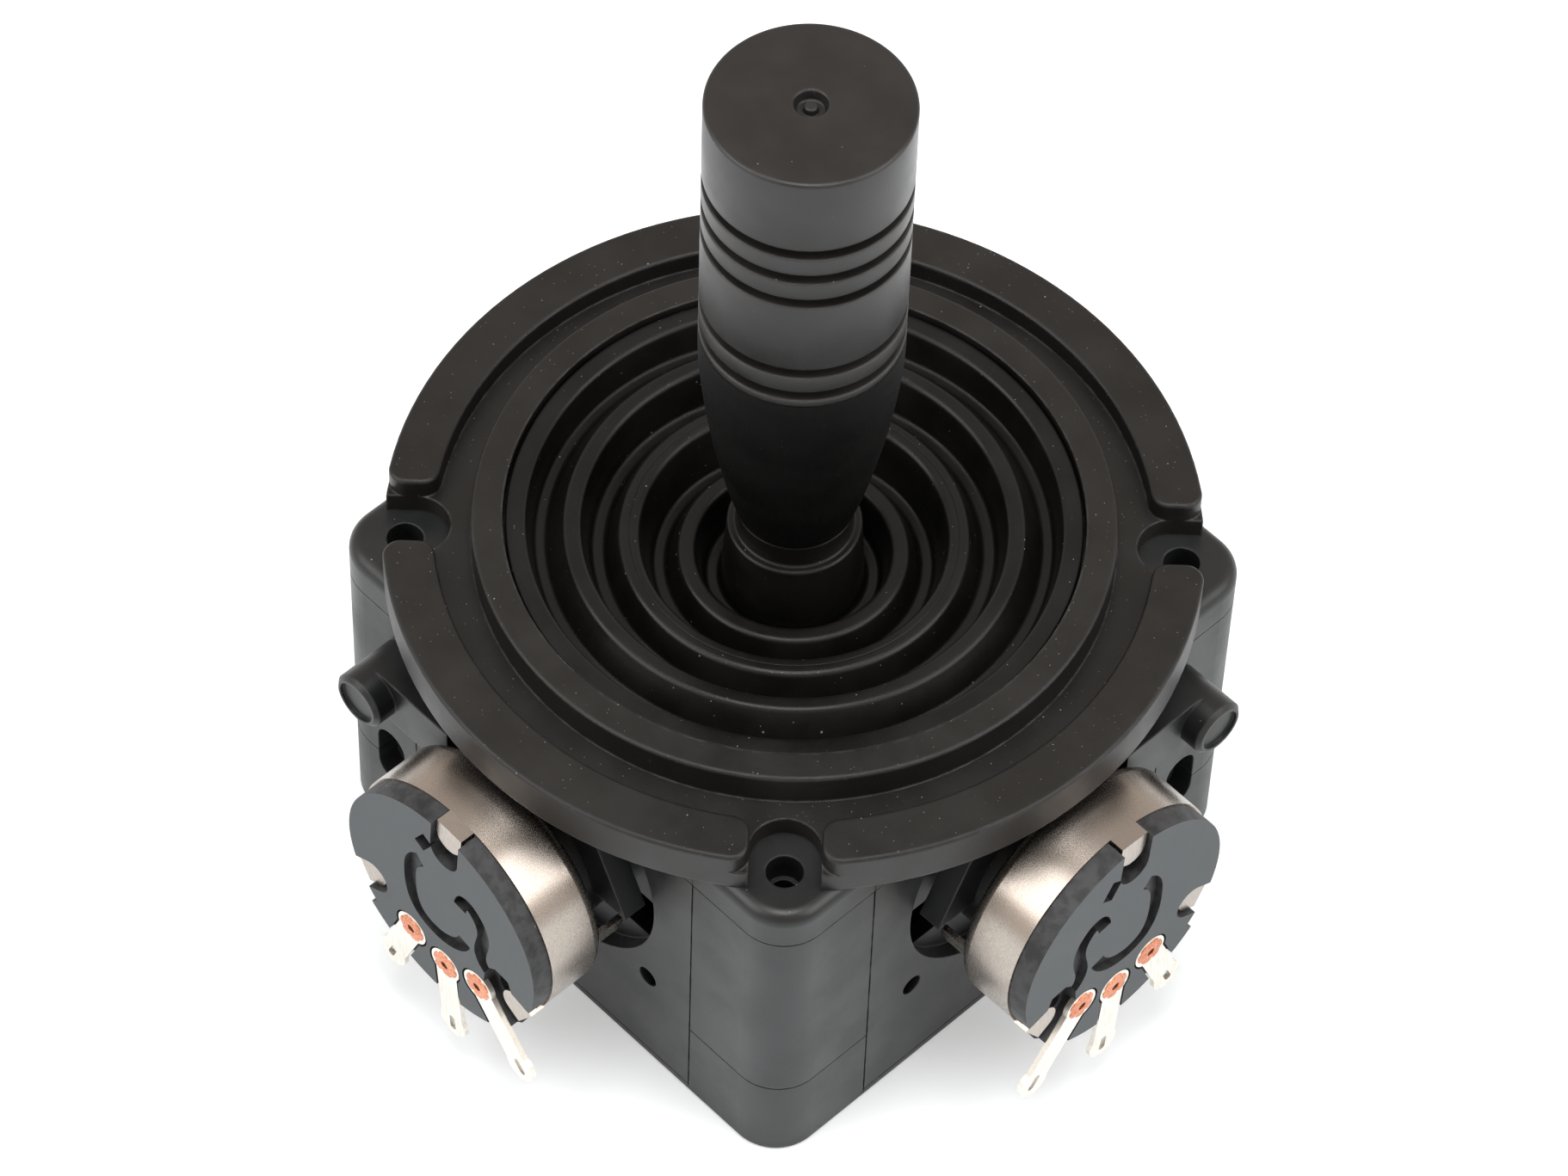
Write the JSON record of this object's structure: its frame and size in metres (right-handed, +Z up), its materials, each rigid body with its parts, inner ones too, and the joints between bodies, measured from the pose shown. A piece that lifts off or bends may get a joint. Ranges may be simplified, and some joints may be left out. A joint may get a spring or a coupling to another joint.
{
  "type": "industrial joystick",
  "caption": "Two-axis panel joystick with a grooved knob, ribbed rubber boot, round bezel, square housing and a rotary potentiometer on each of two faces.",
  "frame": {"origin": "centre of the four panel screw holes, on the top face of the housing", "axes": "+Z up along the lever at rest; -Y out of the left potentiometer's face; +X out of the right potentiometer's face"},
  "size_m": [0.077, 0.077, 0.095],
  "materials": {
    "housing_plastic": "moulded black, satin",
    "bezel_plastic": "moulded black, fine grain",
    "boot_rubber": "black rubber, satin",
    "knob_plastic": "turned black, satin",
    "skirt_plastic": "black, matte",
    "steel": "ground",
    "spring_steel": "drawn wire",
    "bearing_plastic": "natural acetal",
    "yoke_plastic": "dark grey moulding",
    "nickel_can": "nickel plate, satin",
    "phenolic": "slate grey moulding",
    "tinned_brass": "tinned",
    "copper": "bare copper",
    "brass": "turned"
  },
  "bodies": {
    "housing": {"upper_housing": "housing_plastic", "base_cover": "housing_plastic", "base_screws": "steel", "left_side_plate": "housing_plastic", "right_side_plate": "housing_plastic", "rear_left_plate": "housing_plastic", "rear_right_plate": "housing_plastic", "axle_bushes": "bearing_plastic", "bezel": "bezel_plastic", "boot": "boot_rubber", "spring_anchor_posts": "steel", "tilt_spring": "spring_steel", "swing_spring": "spring_steel", "left_pot_can": "nickel_can", "left_pot_cover": "phenolic", "left_pot_lugs": "tinned_brass", "left_pot_rivets": "copper", "left_pot_bushing": "brass", "left_pot_track": "phenolic", "right_pot_can": "nickel_can", "right_pot_cover": "phenolic", "right_pot_lugs": "tinned_brass", "right_pot_rivets": "copper", "right_pot_bushing": "brass", "right_pot_track": "phenolic"},
    "tilt_yoke": {"tilt_frame": "yoke_plastic", "tilt_frame_post": "steel", "cross_pin": "steel", "cross_pin_clips": "steel", "right_pot_shaft": "steel", "right_pot_rotor": "bearing_plastic", "right_pot_wiper": "spring_steel"},
    "bail_yoke": {"bail": "yoke_plastic", "bail_post": "steel", "left_pot_shaft": "steel", "left_pot_rotor": "bearing_plastic", "left_pot_wiper": "spring_steel"},
    "lever": {"lever_hub": "yoke_plastic", "lever_shaft": "steel", "lever_tail": "steel", "tail_slider": "bearing_plastic", "handle_skirt": "skirt_plastic", "knob": "knob_plastic"}
  },
  "joints": [
    {"name": "tilt_left_right", "type": "hinge", "parent": "housing", "child": "tilt_yoke", "pos_m": [0, 0, -0.0136], "axis": [1, 0, 0], "range_deg": [-20, 20], "stiffness_Nm_per_rad": 0.12, "deforming": ["boot", "tilt_spring"]},
    {"name": "tilt_fore_aft", "type": "hinge", "parent": "tilt_yoke", "child": "lever", "pos_m": [0, 0, -0.0136], "axis": [0, 1, 0], "range_deg": [-20, 20], "stiffness_Nm_per_rad": 0.12, "deforming": ["boot"]},
    {"name": "bail_swing", "type": "hinge", "parent": "housing", "child": "bail_yoke", "pos_m": [0, 0, -0.0136], "axis": [0, 1, 0], "range_deg": [-20, 20], "deforming": ["swing_spring"]}
  ],
  "couplings": [
    {"joint": "bail_swing", "follows": "tilt_fore_aft", "ratio": 1}
  ]
}
